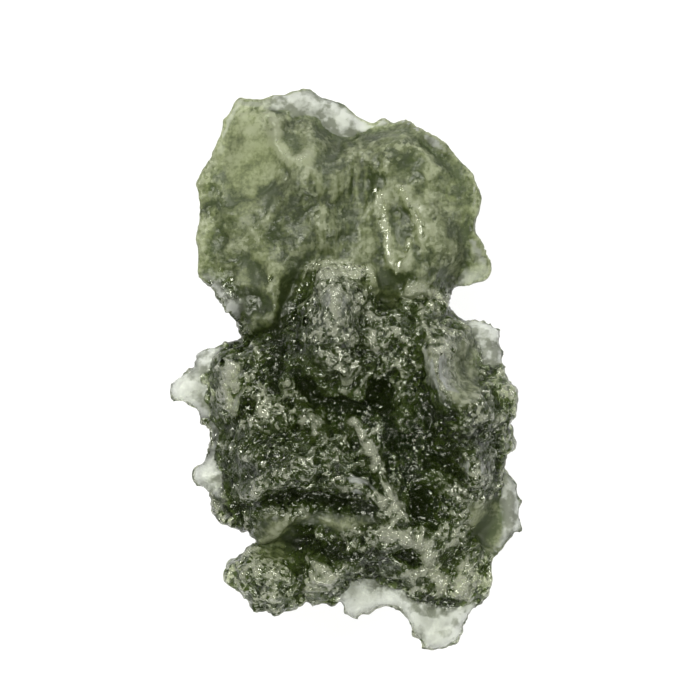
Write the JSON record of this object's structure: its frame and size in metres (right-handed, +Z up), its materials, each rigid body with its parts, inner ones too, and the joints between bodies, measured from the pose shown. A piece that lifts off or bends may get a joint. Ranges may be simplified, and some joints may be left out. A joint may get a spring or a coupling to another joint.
{
  "type": "moldavite",
  "caption": "Raw moldavite: a deeply etched piece of translucent green natural glass with thin clear fins, lying on its back.",
  "frame": {"origin": "under the middle of the bounding box, on the surface that the stone lies on", "axes": "+Z up, out of the display side; +Y along the stone, from the narrow foot to the broad head; +X to the right as seen from above"},
  "size_m": [0.0176, 0.0278, 0.0086],
  "materials": {
    "glass": "clear olive green, etched"
  },
  "bodies": {
    "root": {"moldavite": "glass"}
  },
  "joints": []
}
